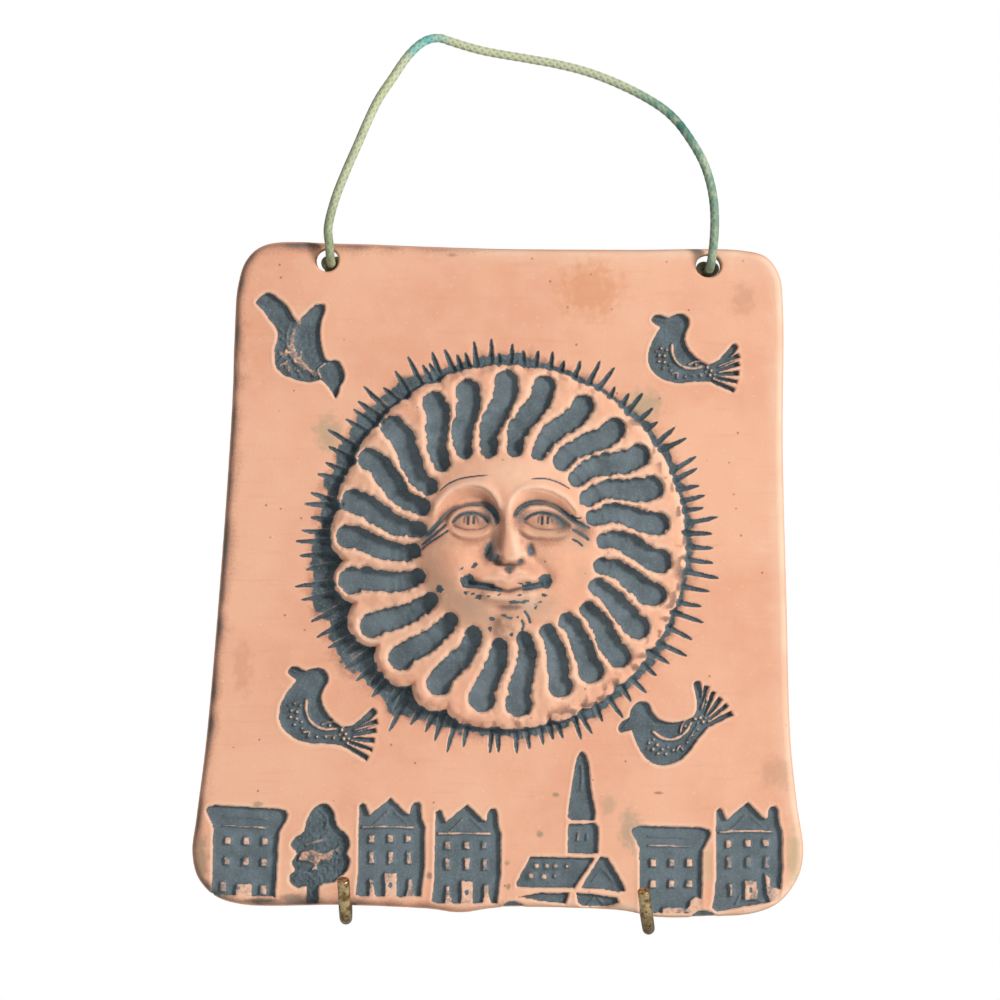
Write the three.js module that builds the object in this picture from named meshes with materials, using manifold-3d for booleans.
// A terracotta key rack for the wall: a slab with a sun face in relief, birds and a street of
// houses stamped into it, two bent brass rods along its bottom edge, and a waxed cord to hang it by.
// Millimetres, +Z up, the front faces -Y and the wall is the plane y = 0.
// x and z of everything on the slab are measured from the centre of the sun. The whole rack is then
// shifted so that the origin is the point where the nail under the cord enters the wall.
import * as THREE from "three";
import { mergeVertices } from "three/addons/utils/BufferGeometryUtils.js";
import Module from "manifold-3d";

// Slab
const WALL_GAP = 5.0; // the knots of the cord hold the slab this far off the wall
const SLAB_THICKNESS = 6.5;
const BACK_Y = -WALL_GAP;
const FRONT_Y = BACK_Y - SLAB_THICKNESS;
const EDGE_ROUND = 1.6; // radius of the soft front edge
const OUTLINE_STEPS = 72;

// Sun
const SUN_RADIUS = 44.4;
const RIM_ROUND = 2.6;
const RIM_BULGE = 0.3;
const PINCH_START = 36; // radius at which the pinching between the rays begins
const RIM_HEIGHT = 3.4; // ridges at the rim, above the slab
const CROWN_HEIGHT = 6.1; // ridges beside the face, above the slab
const RAY_DEPTH = 2.1;
const RAY_INNER = 21.2;
const RAY_OUTER = 41.4;
const FACE_RADIUS = 20.6;
const FACE_EDGE = 6.4;
const FACE_DOME = 2.5;

// Stamps and cuts
const STAMP_DEPTH = 1.3;
const TICK_COUNT = 92;
const TICK_DEPTH = 0.5;

// Hooks
const ROD_RADIUS = 1.5;
const HOOK_BEND = 4.1; // radius of the bend, on the rod's centreline
const HOOK_DROP = 1.1; // height of the bend's centre over the place where the rod leaves the clay
const HOOK_LEAN = 25; // degrees the front prong leans away from the slab
const HOOK_TIP = 8.6; // length of the straight prong
const HOOK_ROOT = 7; // length set into the clay
const SOCKET_CLEARANCE = 0.45;

// Cord
const CORD_DIAMETER = 2.2;
const CORD_STEPS = 46;
const KNOT_RADIUS = 3.1;
const KNOT_DEPTH = 4.2;

// The nail's place, from the centre of the sun
const NAIL = new THREE.Vector3(-18.2, 0, 123.9);

const CLAY = { color: 0xe6ac88, roughness: 0.85, metalness: 0 };
const BRASS = { color: 0xb89a5c, roughness: 0.38, metalness: 1 };
const CORD = { color: 0x9fb08c, roughness: 0.7, metalness: 0 };

const wasm = await Module();
wasm.setup();

const radians = THREE.MathUtils.degToRad;
const smooth = (x, low, high) => THREE.MathUtils.smoothstep(x, low, high);
const bump = (x, z, halfWidth, halfHeight) => Math.exp(-((x / halfWidth) ** 2) - (z / halfHeight) ** 2);

// ---------------------------------------------------------------- solids and surfaces

function toSolid(geometry) {
  const bare = geometry.index ? geometry.toNonIndexed() : geometry.clone();
  bare.deleteAttribute("normal");
  bare.deleteAttribute("uv");
  const merged = mergeVertices(bare, 1e-3);
  const vertProperties = merged.attributes.position.array;
  const triVerts = new Uint32Array(merged.index.array);
  return new wasm.Manifold(new wasm.Mesh({ numProp: 3, vertProperties, triVerts }));
}

function toGeometry(solid) {
  const mesh = solid.getMesh();
  const positions = new Float32Array(mesh.numVert * 3);
  for (let i = 0; i < mesh.numVert; i++) {
    const start = i * mesh.numProp;
    positions.set(mesh.vertProperties.subarray(start, start + 3), i * 3);
  }
  const geometry = new THREE.BufferGeometry();
  geometry.setAttribute("position", new THREE.BufferAttribute(positions, 3));
  geometry.setIndex(new THREE.BufferAttribute(new Uint32Array(mesh.triVerts), 1));
  return geometry;
}

// A closed body between rings of equally many points, clockwise from the front and front ring first;
// each end ring is filled with flat triangles.
function loftRings(rings) {
  const count = rings[0].length;
  const positions = rings.flat().flatMap((p) => [p.x, p.y, p.z]);
  const index = [];
  for (let r = 0; r + 1 < rings.length; r++) {
    for (let i = 0; i < count; i++) {
      const next = (i + 1) % count;
      const a = r * count + i;
      const b = r * count + next;
      index.push(a, b, b + count, a, b + count, a + count);
    }
  }
  const capOf = (ring) => THREE.ShapeUtils.triangulateShape(ring.map((p) => new THREE.Vector2(p.x, p.z)), []);
  const last = (rings.length - 1) * count;
  for (const [a, b, c] of capOf(rings[0])) index.push(a, b, c);
  for (const [a, b, c] of capOf(rings.at(-1))) index.push(last + a, last + c, last + b);
  const geometry = new THREE.BufferGeometry();
  geometry.setAttribute("position", new THREE.Float32BufferAttribute(positions, 3));
  geometry.setIndex(index);
  return geometry;
}

// A closed smooth line through [x, z] points, finer where the points lie closer together.
function closedCurve(points, count) {
  const knots = points.map(([x, z]) => new THREE.Vector3(x, 0, z));
  return new THREE.CatmullRomCurve3(knots, true, "centripetal").getPoints(count).slice(0, count);
}

// ---------------------------------------------------------------- slab

// Clockwise from the top left corner, seen from the front; the cut edge wanders and flares downwards.
const SLAB_OUTLINE = [
  [-59.0, 73.6], [-40, 73.9], [-20, 73.2], [0, 72.6], [30, 72.4], [58, 72.2],
  [63.8, 70.6], [67.0, 66.2], [67.9, 59], [67.9, 23], [68.8, -13.5], [69.8, -48],
  [71.3, -63], [72.9, -75.5], [71.6, -81.6], [67.1, -87.6], [61, -90.3], [50, -91.2],
  [37, -91.3], [29, -89.8], [20, -89.2], [-2, -89.0], [-11.3, -90.2], [-19, -89.3],
  [-40, -88.4], [-65, -88.2], [-71.6, -86.0], [-75.6, -81.6], [-77.0, -75.5], [-76.0, -67],
  [-73.6, -48], [-69.8, -4], [-67.2, 35], [-66.6, 52], [-65.8, 63.5], [-63.6, 70.0],
];

// The outline drawn in by `inset` along its own normals, at depth y.
function slabRing(inset, y) {
  const ring = closedCurve(SLAB_OUTLINE, OUTLINE_STEPS);
  return ring.map((point, i) => {
    const before = ring[(i + OUTLINE_STEPS - 1) % OUTLINE_STEPS];
    const after = ring[(i + 1) % OUTLINE_STEPS];
    const along = after.clone().sub(before).normalize();
    return new THREE.Vector3(point.x + along.z * inset, y, point.z - along.x * inset);
  });
}

function slab() {
  const cut = EDGE_ROUND * (1 - Math.SQRT1_2);
  const rings = [
    slabRing(EDGE_ROUND, FRONT_Y),
    slabRing(cut, FRONT_Y + cut),
    slabRing(0, FRONT_Y + EDGE_ROUND),
    slabRing(0, BACK_Y - 0.6),
    slabRing(0.6, BACK_Y),
  ];
  return toSolid(loftRings(rings));
}

// A straight-sided body on an outline of [x, z] points, from `proud` in front of the slab to `deep` inside it.
function prism(points, proud, deep) {
  const shape = new THREE.Shape(points.map(([x, z]) => new THREE.Vector2(x, z)));
  const geometry = new THREE.ExtrudeGeometry(shape, { depth: proud + deep, bevelEnabled: false });
  geometry.rotateX(Math.PI / 2);
  geometry.translate(0, FRONT_Y + deep, 0);
  return toSolid(geometry);
}

function rounded(points, count) {
  return closedCurve(points, count).map((p) => [p.x, p.z]);
}

function box(x, z, width, height) {
  return [
    [x - width / 2, z],
    [x + width / 2, z],
    [x + width / 2, z + height],
    [x - width / 2, z + height],
  ];
}

// A strip of even width along a few points, with square ends.
function strip(points, width) {
  const sideways = points.map(([x, z], i) => {
    const [x0, z0] = points[Math.max(i - 1, 0)];
    const [x1, z1] = points[Math.min(i + 1, points.length - 1)];
    const length = Math.hypot(x1 - x0, z1 - z0);
    return [(-(z1 - z0) / length) * (width / 2), ((x1 - x0) / length) * (width / 2)];
  });
  const left = points.map(([x, z], i) => [x + sideways[i][0], z + sideways[i][1]]);
  const right = points.map(([x, z], i) => [x - sideways[i][0], z - sideways[i][1]]);
  return [...left, ...right.reverse()];
}

// ---------------------------------------------------------------- stamps
// Each stamp is a list of cuts, and each cut is an outline with the islands that are left standing in it,
// all drawn from the stamp's own zero point.

// A sitting dove that looks left, with a fan of feathers at the right.
function doveStamp() {
  const body = [
    [-8.5, 9.3], [-7.3, 9.4], [-5.5, 8.4], [-2.7, 9.4], [-0.6, 8.4], [0.2, 6.9], [-1.0, 4.9], [-2.1, 3.2],
    [-1.1, 1.1], [2.2, -1.6], [6.4, -2.9], [9.0, -0.9], [11.4, 1.3], [12.6, 0.2], [13.5, -2.0], [12.5, -4.0],
    [7.0, -5.4], [6.4, -8.4], [2.6, -7.7], [-2.2, -8.1], [-5.4, -7.5], [-8.3, -6.4], [-10.2, -4.4],
    [-10.8, -2.2], [-10.1, 0.9], [-7.8, 4.3], [-7.2, 6.4],
  ];
  const wing = strip([[-4.3, 1.1], [-4.2, -0.8], [-3.2, -2.6], [0, -4.3], [3.4, -4.6]], 0.75);
  const feathers = [
    [-5.6, 12.7, -5.6],
    [-6.8, 12.3, -7.7],
    [-8.1, 11.6, -9.5],
  ];
  const cuts = [{ outline: rounded(body, 30), islands: [wing] }];
  for (const [rootZ, tipX, tipZ] of feathers) cuts.push({ outline: strip([[6.2, rootZ], [tipX, tipZ]], 1.0) });
  return cuts;
}

// A bird in flight, its head down at the right and both wings up.
function flyingStamp() {
  const body = [
    [-8.1, 12.9], [-11.0, 10.4], [-9.3, 8.5], [-7.8, 6.4], [-5.6, 2.7], [-6.4, -1.2], [-5.9, -5.6], [-4.0, -7.5],
    [1.7, -9.2], [5.1, -8.8], [7.1, -10.8], [8.7, -13.1], [9.8, -10.5], [11.0, -7.4], [9.3, -3.9], [6.6, -3.6],
    [5.3, -0.5], [5.0, 4.9], [6.2, 9.6], [3.7, 9.9], [1.2, 7.8], [-0.9, 6.1], [-2.8, 9.1], [-5.0, 11.3],
  ];
  const spine = strip([[-1.2, 4.6], [-2.2, 1.0], [-1.2, -2.8], [1.4, -5.6], [4.2, -7.4]], 0.8);
  return [{ outline: rounded(body, 30), islands: [spine] }];
}

// A flat-roofed house with a flaring cornice; zero is the middle of its foot.
function flatHouseStamp() {
  const outline = [
    [-7.7, 0], [7.6, 0], [7.9, 15.8], [9.6, 18.6], [9.2, 20.6], [7.6, 21.2], [-7.4, 21.8], [-8.9, 20.4], [-7.7, 16.4],
  ];
  const windows = [];
  for (const z of [6.9, 12.2]) for (const x of [-4.2, 0.3, 4.6]) windows.push(box(x, z, 1.3, 1.9));
  windows.push(box(-4.4, 1.2, 1.2, 2.0));
  windows.push(box(4.9, 1.2, 1.2, 2.0));
  windows.push(box(0, 0.5, 3.9, 3.4));
  windows.push(box(0.6, 16.0, 11.5, 0.5));
  return [{ outline, islands: windows }];
}

// A gabled house between two chimneys; zero is the middle of its foot.
function gabledHouseStamp() {
  const outline = [
    [-8.9, 0.6], [-7.6, 0], [7.4, 0], [8.2, 8], [8.3, 17.2], [7.4, 19], [7.3, 22], [6.6, 23.4], [5.6, 23.2],
    [4.6, 20.4], [3.8, 20.6], [-0.1, 24.6], [-5.3, 20.2], [-6.0, 22.4], [-7.0, 23.2], [-7.8, 22.2], [-8.1, 17],
    [-8.2, 6],
  ];
  const windows = [];
  for (const x of [-4.8, -0.1, 4.4]) {
    windows.push(box(x, 13.4, 1.4, 1.8));
    windows.push(box(x, 8.2, 1.2, 2.9));
  }
  windows.push(box(-4.9, 0.8, 1.2, 3.6));
  windows.push(box(4.6, 0.8, 1.4, 3.6));
  windows.push(box(-0.1, 0.5, 3.1, 5.6));
  windows.push(box(-0.9, 17.0, 12.2, 0.6));
  return [{ outline, islands: windows }];
}

// A church seen from its side: spire, tower, long roof with skylights, gable and two pieces of wall.
function churchStamp() {
  const spire = [[-3.4, 0], [-3.1, 4], [-1.5, 14.2], [-0.6, 16.4], [0.2, 17], [1.0, 16.4], [1.7, 14.2], [3.4, 2.6], [3.2, 0.6]];
  const tower = [[-3.6, -8.5], [3.9, -8.5], [4.1, -1.6], [3.4, -0.7], [-3.4, -0.9]];
  const towerWindows = [box(-1.1, -5.2, 0.6, 2.2), box(1.3, -5.2, 0.6, 2.0)];
  const roof = [[-16.2, -16.6], [-1.7, -16.8], [3.2, -9.2], [-12.5, -9.2], [-16.2, -15.8]];
  const skylights = [];
  for (const [x, z] of [[-10.8, -11.4], [-8.5, -11.3], [-6.4, -11.4], [-12.2, -13.7], [-8.9, -13.7]]) {
    skylights.push(box(x, z, 1.1, 1.1));
  }
  const gable = [[-0.6, -16.9], [3.8, -18.2], [10.6, -18.2], [10.8, -17.0], [7.2, -10.8], [6.2, -9.4], [4.6, -9.2]];
  const nave = [[-16.0, -19.0], [-11, -18.0], [-3.0, -17.8], [-3.6, -20.7], [-10.5, -19.9]];
  const porch = [[-1.2, -18.1], [9.4, -19.2], [9.6, -20.5], [7.6, -21.3], [0.4, -21.4], [-1.4, -20.4]];
  return [
    { outline: spire },
    { outline: tower, islands: towerWindows },
    { outline: roof, islands: skylights },
    { outline: gable },
    { outline: nave },
    { outline: porch },
  ];
}

// A round-headed tree on a short trunk, its edge ragged; zero is the foot of the trunk.
function treeStamp() {
  const outline = [
    [-1.7, 0], [1.7, 0], [1.8, 3.6], [5.6, 5.2], [6.6, 7.8], [8.8, 8.6], [8.4, 12.4], [9.0, 15.2], [7.8, 18.6],
    [6.2, 20.6], [5.6, 24.0], [3.0, 25.2], [-0.4, 24.6], [-2.0, 22.8], [-2.3, 20.2], [-5.2, 18.6], [-6.0, 15.2],
    [-4.9, 12.8], [-5.4, 9.2], [-6.5, 7.0], [-5.6, 5.8], [-2.4, 4.2],
  ];
  return [{ outline }];
}

// Partial stamps that run off the bottom edge; zero is the middle of each.
function edgeStamp(width) {
  const arch = new THREE.EllipseCurve(0, -1.2, width / 2, 2.2, 0, Math.PI, false);
  return [{ outline: arch.getPoints(8).map((p) => [p.x, p.y]) }];
}

const STAMPS = [
  { make: doveStamp, x: 45.1, z: 47.8, turn: 0 },
  { make: doveStamp, x: -44.3, z: -40.2, turn: -4 },
  { make: doveStamp, x: 42.6, z: -44.4, turn: 40 },
  { make: flyingStamp, x: -50.5, z: 49.0, turn: 0 },
  { make: flatHouseStamp, x: -64.2, z: -86.0, turn: -3, scale: 0.99 },
  { make: treeStamp, x: -47.3, z: -87.3, turn: 0 },
  { make: gabledHouseStamp, x: -28.2, z: -86.4, turn: 0 },
  { make: gabledHouseStamp, x: -9.5, z: -88.0, turn: 0 },
  { make: churchStamp, x: 18.5, z: -67.4, turn: 0 },
  { make: flatHouseStamp, x: 39.9, z: -90.0, turn: 1, scale: 0.97 },
  { make: gabledHouseStamp, x: 59.3, z: -88.5, turn: 1 },
  { make: () => edgeStamp(6.4), x: 1.6, z: -88.3, turn: 0 },
  { make: () => edgeStamp(7.0), x: 48.4, z: -90.6, turn: 0 },
];

function placePoints(points, { x, z, turn, scale = 1 }) {
  const centre = new THREE.Vector2();
  const offset = new THREE.Vector2(x, z);
  return points.map(([px, pz]) => {
    const point = new THREE.Vector2(px, pz).multiplyScalar(scale).rotateAround(centre, radians(turn)).add(offset);
    return point.toArray();
  });
}

function stampSolids() {
  return STAMPS.flatMap((stamp) =>
    stamp.make().map(({ outline, islands = [] }) => {
      let cut = prism(placePoints(outline, stamp), 1, STAMP_DEPTH);
      for (const island of islands) cut = cut.subtract(prism(placePoints(island, stamp), 2, STAMP_DEPTH + 1));
      return cut;
    }),
  );
}

// ---------------------------------------------------------------- sun

// The rays are cut by hand, so each has its own bearing at the face, anticlockwise from the right.
const RAY_BEARINGS = [
  3, 17, 30, 43.5, 56, 70, 85, 100, 114, 128, 143, 156, 170,
  184, 199.5, 216, 233, 250, 266, 281, 296, 309, 322, 335, 348,
];

// Each ray runs straight out, swerves clockwise half way and runs straight out again.
function rayBearing(bearing, radius) {
  const swerve = 7.5 + 2.2 * Math.cos(radians(bearing - 75));
  return bearing - swerve * smooth(radius, 25, 38);
}

function rayHalfWidth(radius) {
  return 2.2 + 0.75 * smooth(radius, 23, 37);
}

function ridgeHeight(radius) {
  const inward = Math.min(1, (SUN_RADIUS - radius) / (SUN_RADIUS - FACE_RADIUS));
  return RIM_HEIGHT + (CROWN_HEIGHT - RIM_HEIGHT) * Math.max(0, inward);
}

// The rim bulges at the end of each ray and is pinched in between, most of all at the lower left.
function rimShift(bearing, radius, between) {
  const pinch = 0.4 + 2.8 * Math.max(0, Math.cos(radians(bearing - 213))) ** 2;
  const share = Math.max(0, (radius - PINCH_START) / (SUN_RADIUS - PINCH_START)) ** 2;
  return share * (RIM_BULGE - pinch * between);
}

// The ring of rays as one surface, ring by ring, with five points across each ray and its ridge.
function rayRing() {
  const stations = [
    { radius: 18.5, floor: false },
    { radius: RAY_INNER, floor: false },
    { radius: RAY_INNER + 0.5, floor: true, narrow: 0.55 },
    { radius: RAY_INNER + 2.0, floor: true, narrow: 1 },
    { radius: 28.5, floor: true, narrow: 1 },
    { radius: 34.5, floor: true, narrow: 1 },
    { radius: RAY_OUTER - 1.8, floor: true, narrow: 1 },
    { radius: RAY_OUTER - 0.4, floor: true, narrow: 0.6 },
    { radius: RAY_OUTER + 0.2, floor: false },
    { radius: SUN_RADIUS - RIM_ROUND * 0.3, floor: false },
    { radius: SUN_RADIUS, floor: false, foot: true },
  ];
  const rings = stations.map((station) => rayStation(station));
  const first = rings[0].map((p) => new THREE.Vector3(p.x, FRONT_Y + 1, p.z));
  const last = rings.at(-1).map((p) => new THREE.Vector3(p.x, FRONT_Y + 1, p.z));
  return toSolid(closeRing([first, ...rings, last]));
}

function rayStation({ radius, floor, narrow = 1, foot = false }) {
  const ring = [];
  RAY_BEARINGS.forEach((bearing, i) => {
    const next = RAY_BEARINGS[(i + 1) % RAY_BEARINGS.length] + (i + 1 === RAY_BEARINGS.length ? 360 : 0);
    const centre = rayBearing(bearing, radius);
    const middle = (centre + rayBearing(next, radius)) / 2;
    const edge = THREE.MathUtils.radToDeg((rayHalfWidth(radius) * narrow) / radius);
    const wall = THREE.MathUtils.radToDeg(0.45 / radius);
    const across = [
      [centre - edge, 0, 0],
      [centre - edge + wall, 1, 0],
      [centre + edge - wall, 1, 0],
      [centre + edge, 0, 0],
      [middle, 0, 1],
    ];
    for (const [angle, inRay, between] of across) {
      const height = foot ? 0.8 : rimHeight(radius) - (floor && inRay ? RAY_DEPTH : 0);
      const reach = radius + rimShift(angle, radius, between);
      const turn = radians(angle);
      ring.push(new THREE.Vector3(reach * Math.cos(turn), FRONT_Y - height, reach * Math.sin(turn)));
    }
  });
  return ring;
}

function rimHeight(radius) {
  const over = Math.max(0, (radius - (SUN_RADIUS - RIM_ROUND)) / RIM_ROUND);
  return ridgeHeight(radius) * Math.sqrt(Math.max(0, 1 - over * over * 0.8));
}

// A ring-shaped body from rings that start and end on its flat underside.
function closeRing(rings) {
  const count = rings[0].length;
  const positions = rings.flat().flatMap((p) => [p.x, p.y, p.z]);
  const index = [];
  for (let r = 0; r < rings.length; r++) {
    const below = r * count;
    const above = ((r + 1) % rings.length) * count;
    for (let i = 0; i < count; i++) {
      const next = (i + 1) % count;
      index.push(below + i, above + i, above + next, below + i, above + next, below + next);
    }
  }
  const geometry = new THREE.BufferGeometry();
  geometry.setAttribute("position", new THREE.Float32BufferAttribute(positions, 3));
  geometry.setIndex(index);
  return geometry;
}

// Height of the face above the slab: a dome with brows, eyes, nose, cheeks, lips and chin on it.
function faceHeight(x, z) {
  const side = Math.abs(x);
  const out = Math.min(1, Math.hypot(x, z) / FACE_RADIUS);
  const dome = FACE_EDGE + FACE_DOME * Math.sqrt(1 - out ** 2.4);
  const socket = -1.5 * bump(side - 8.6, z - 8.2, 5.2, 3.0);
  const eye = 1.5 * bump(side - 8.9, z - 6.0, 3.9, 1.9);
  const browLine = 13.2 - 0.075 * (side - 7.5) ** 2;
  const brow = 0.9 * bump(side - 8.5, z - browLine - 1.2, 7.0, 1.5);
  const noseLength = smooth(z, -4.6, -3.2) * (1 - smooth(z, 3, 12));
  const noseWidth = 1.9 + 1.7 * (1 - smooth(z, -3, 6));
  const nose = (1.0 + 2.3 * (1 - smooth(z, -3, 10))) * noseLength * bump(x, 0, noseWidth, 1);
  const wings = 1.3 * bump(side - 3.6, z + 2.2, 1.3, 1.6);
  const cheek = 1.2 * bump(side - 13.0, z + 4.0, 5.0, 5.2);
  const mouthLine = -11.2 + 0.022 * x * x;
  const within = 1 - smooth(side, 8.0, 10.0);
  const lips = within * (0.8 * bump(0, z - mouthLine - 1.5, 1, 1.1) + 0.9 * bump(0, z - mouthLine + 1.6, 1, 1.2));
  const mouth = -1.2 * within * bump(0, z - mouthLine, 1, 0.6) - 1.3 * bump(side - 9.3, z + 9.3, 1.5, 1.5);
  const chin = 1.7 * bump(x, z + 19.0, 3.4, 2.6);
  return dome + socket + eye + brow + nose + wings + cheek + lips + mouth + chin;
}

// A square grid drawn onto the face's disc, closed below inside the slab.
function face() {
  const side = 20;
  const top = [];
  for (let row = 0; row <= side; row++) {
    for (let column = 0; column <= side; column++) {
      const u = (2 * column) / side - 1;
      const v = (2 * row) / side - 1;
      const x = FACE_RADIUS * u * Math.sqrt(1 - (v * v) / 2);
      const z = FACE_RADIUS * v * Math.sqrt(1 - (u * u) / 2);
      top.push(new THREE.Vector3(x, FRONT_Y - faceHeight(x, z), z));
    }
  }
  const at = (column, row) => row * (side + 1) + column;
  const index = [];
  for (let row = 0; row < side; row++) {
    for (let column = 0; column < side; column++) {
      index.push(at(column, row), at(column + 1, row), at(column + 1, row + 1));
      index.push(at(column, row), at(column + 1, row + 1), at(column, row + 1));
    }
  }
  const border = [];
  for (let i = 0; i < side; i++) border.push(at(i, 0));
  for (let i = 0; i < side; i++) border.push(at(side, i));
  for (let i = side; i > 0; i--) border.push(at(i, side));
  for (let i = side; i > 0; i--) border.push(at(0, i));
  const base = border.map((i) => new THREE.Vector3(top[i].x, FRONT_Y + 1.5, top[i].z));
  const centre = top.length + base.length;
  border.forEach((_, i) => {
    const next = (i + 1) % border.length;
    const low = top.length + i;
    const lowNext = top.length + next;
    index.push(border[i], low, lowNext, border[i], lowNext, border[next]);
    index.push(low, centre, lowNext);
  });
  const all = [...top, ...base, new THREE.Vector3(0, FRONT_Y + 1.5, 0)];
  const geometry = new THREE.BufferGeometry();
  geometry.setAttribute("position", new THREE.Float32BufferAttribute(all.flatMap((p) => [p.x, p.y, p.z]), 3));
  geometry.setIndex(index);
  return toSolid(geometry);
}

// Short knife cuts that stand round the sun like stubble, each a wedge that runs out to a point.
function tickSolids() {
  const ticks = [];
  for (let i = 0; i < TICK_COUNT; i++) {
    const angle = radians((360 * (i + 0.3 * Math.sin(i * 2.4))) / TICK_COUNT);
    const reach = SUN_RADIUS + 3.6 + 1.6 * Math.sin(i * 5.1) + 1.0 * Math.sin(i * 1.7);
    ticks.push(toSolid(tick(angle, SUN_RADIUS - 0.6, reach)));
  }
  return ticks;
}

function tick(angle, from, to) {
  const halfWidth = 0.4;
  const lift = 0.2;
  const corners = [
    [from, halfWidth, -lift],
    [from, -halfWidth, -lift],
    [from, 0, TICK_DEPTH],
    [to, 0, -lift],
  ];
  const positions = corners.flatMap(([r, across, y]) => [
    r * Math.cos(angle) - across * Math.sin(angle),
    FRONT_Y + y,
    r * Math.sin(angle) + across * Math.cos(angle),
  ]);
  const geometry = new THREE.BufferGeometry();
  geometry.setAttribute("position", new THREE.Float32BufferAttribute(positions, 3));
  geometry.setIndex([0, 1, 3, 0, 2, 1, 1, 2, 3, 2, 0, 3]);
  return geometry;
}

// ---------------------------------------------------------------- holes, hooks and cord

const HOLES = [
  { x: -43.9, z: 69.8, width: 5.6, height: 5.6 },
  { x: 49.6, z: 68.4, width: 6.2, height: 5.6 },
];

function holeSolid({ x, z, width, height }) {
  const round = new THREE.CylinderGeometry(0.5, 0.5, SLAB_THICKNESS + 2, 16);
  round.scale(width, 1, height);
  round.translate(x, (FRONT_Y + BACK_Y) / 2, z);
  return toSolid(round);
}

// Where each rod enters the bottom edge, and how far it leans to the left at the top, in degrees.
const HOOKS = [
  { name: "left_hook", x: -39.3, z: -88.4, lean: 2.2 },
  { name: "right_hook", x: 34.4, z: -90.9, lean: 8.6 },
];

function hookCurve() {
  const curve = new THREE.CurvePath();
  const bendCentre = new THREE.Vector3(0, -HOOK_BEND, HOOK_DROP);
  const around = (degrees) =>
    new THREE.Vector3(0, HOOK_BEND * Math.cos(radians(degrees)), -HOOK_BEND * Math.sin(radians(degrees))).add(bendCentre);
  const sweep = 180 - HOOK_LEAN;
  const points = [new THREE.Vector3(0, 0, HOOK_ROOT)];
  for (let i = 0; i <= 8; i++) points.push(around((sweep * i) / 8));
  const lean = radians(HOOK_LEAN);
  points.push(points.at(-1).clone().add(new THREE.Vector3(0, -Math.sin(lean), Math.cos(lean)).multiplyScalar(HOOK_TIP)));
  for (let i = 0; i + 1 < points.length; i++) curve.add(new THREE.LineCurve3(points[i], points[i + 1]));
  return new THREE.CatmullRomCurve3(curve.getSpacedPoints(40), false, "centripetal");
}

function roundSection(radius, sides) {
  const points = [];
  for (let i = 0; i < sides; i++) {
    const angle = (2 * Math.PI * i) / sides;
    points.push(new THREE.Vector2(radius * Math.cos(angle), radius * Math.sin(angle)));
  }
  return new THREE.Shape(points);
}

function sweep(curve, radius, sides, steps) {
  return new THREE.ExtrudeGeometry(roundSection(radius, sides), { steps, extrudePath: curve, bevelEnabled: false });
}

function place(object, { x, z, lean }) {
  object.position.set(x, (FRONT_Y + BACK_Y) / 2, z);
  object.rotation.y = -radians(lean);
  return object;
}

function socketSolid(hook) {
  const length = HOOK_ROOT + 3;
  const socket = new THREE.CylinderGeometry(ROD_RADIUS + SOCKET_CLEARANCE, ROD_RADIUS + SOCKET_CLEARANCE, length, 12);
  socket.rotateX(Math.PI / 2);
  socket.translate(0, 0, HOOK_ROOT + SOCKET_CLEARANCE - length / 2);
  const placed = place(new THREE.Object3D(), hook);
  placed.updateMatrix();
  return toSolid(socket.applyMatrix4(placed.matrix));
}

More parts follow.
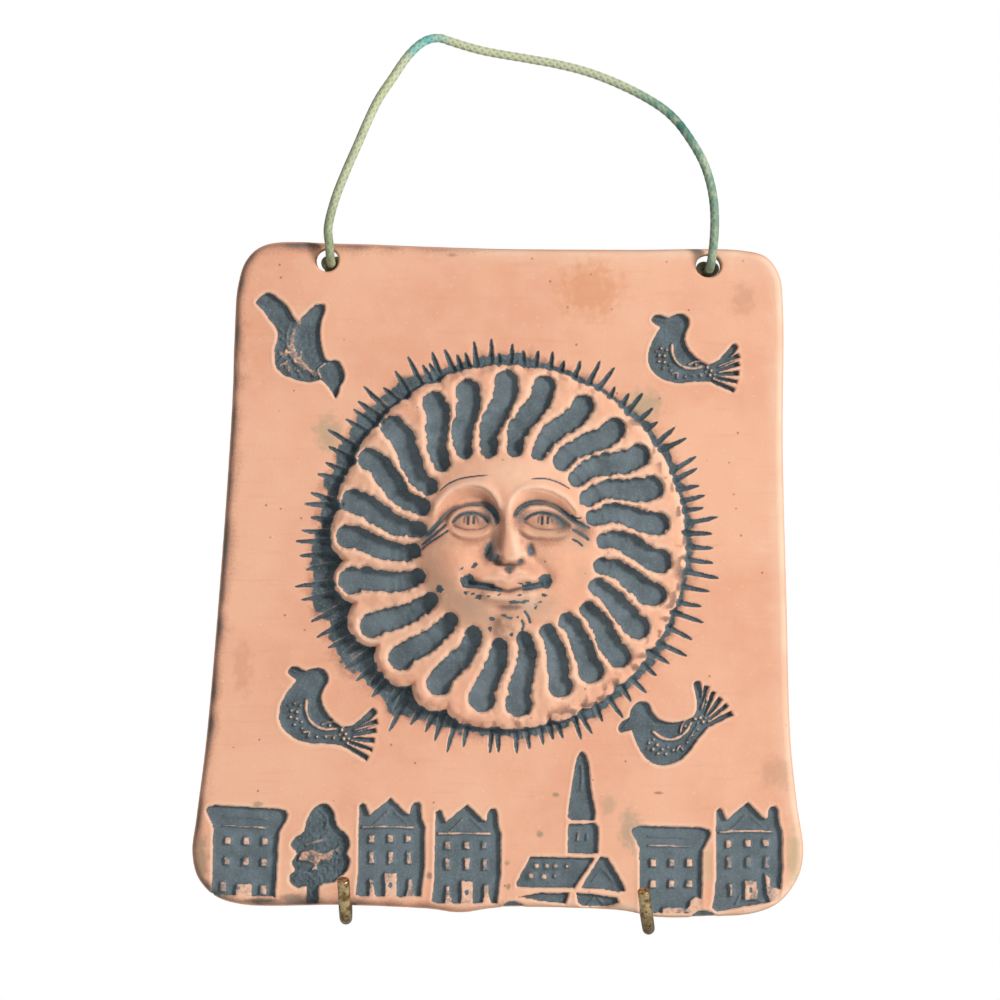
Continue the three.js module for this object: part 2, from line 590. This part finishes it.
// The cord's own line, from the knot behind the left hole over the nail to the one behind the right hole.
const CORD_ROUTE = [
  [-42.9, -4.8, 68.9], [-42.9, -7.2, 68.9], [-42.9, -9.8, 69.0], [-43.0, -13.0, 70.2], [-43.2, -14.4, 73.4],
  [-43.5, -14.3, 77.3], [-41.9, -13.4, 84.3], [-39.3, -12.2, 91.3], [-36.5, -10.8, 97.9], [-34.2, -9.4, 103.5],
  [-31.4, -7.6, 109.6], [-28.1, -5.9, 114.8], [-24.4, -4.2, 120.4], [-21.2, -3.1, 123.7], [-18.7, -2.6, 125.0],
  [-16.3, -2.4, 125.2], [-14.0, -2.4, 124.5], [-9.3, -2.6, 123.0], [-4.7, -3.0, 121.8], [5.6, -3.9, 119.9],
  [12.6, -4.8, 118.5], [19.6, -5.9, 116.6], [26.7, -7.2, 113.8], [33.2, -8.6, 110.5], [38.8, -10.0, 106.8],
  [42.2, -11.0, 103.4], [45.4, -12.1, 98.8], [48.2, -13.0, 93.7], [49.9, -13.7, 88.5], [50.8, -14.2, 82.9],
  [50.9, -14.5, 77.3], [50.5, -14.4, 72.0], [50.1, -13.0, 68.9], [49.9, -9.8, 67.6], [49.8, -7.2, 67.5],
  [49.8, -4.8, 67.5],
];

function cordCurve() {
  const points = CORD_ROUTE.map(([x, y, z]) => new THREE.Vector3(x, y, z));
  return new THREE.CatmullRomCurve3(points, false, "centripetal");
}

// A knot pulled up behind the slab, as a flattened ball with a dent where the cord enters it.
function knot([x, , z]) {
  const geometry = new THREE.SphereGeometry(KNOT_RADIUS, 10, 6);
  geometry.scale(1, KNOT_DEPTH / 2 / KNOT_RADIUS, 1);
  geometry.translate(x, -0.25 - KNOT_DEPTH / 2, z);
  return geometry;
}

// ---------------------------------------------------------------- assembly

function plaque() {
  let solid = slab();
  for (const cut of [...tickSolids(), ...stampSolids()]) solid = solid.subtract(cut);
  solid = solid.add(rayRing()).add(face());
  for (const hole of HOLES) solid = solid.subtract(holeSolid(hole));
  for (const hook of HOOKS) solid = solid.subtract(socketSolid(hook));
  return toGeometry(solid);
}

function piece(name, geometry, finish) {
  const mesh = new THREE.Mesh(geometry, new THREE.MeshStandardMaterial(finish));
  mesh.name = name;
  return mesh;
}

const rack = new THREE.Group();
rack.position.copy(NAIL).negate();
rack.add(piece("plaque", plaque(), CLAY));
for (const hook of HOOKS) rack.add(place(piece(hook.name, sweep(hookCurve(), ROD_RADIUS, 10, 16), BRASS), hook));
rack.add(piece("hanging_cord", sweep(cordCurve(), CORD_DIAMETER / 2, 8, CORD_STEPS), CORD));
rack.add(piece("left_knot", knot(CORD_ROUTE[0]), CORD));
rack.add(piece("right_knot", knot(CORD_ROUTE.at(-1)), CORD));

export default rack;
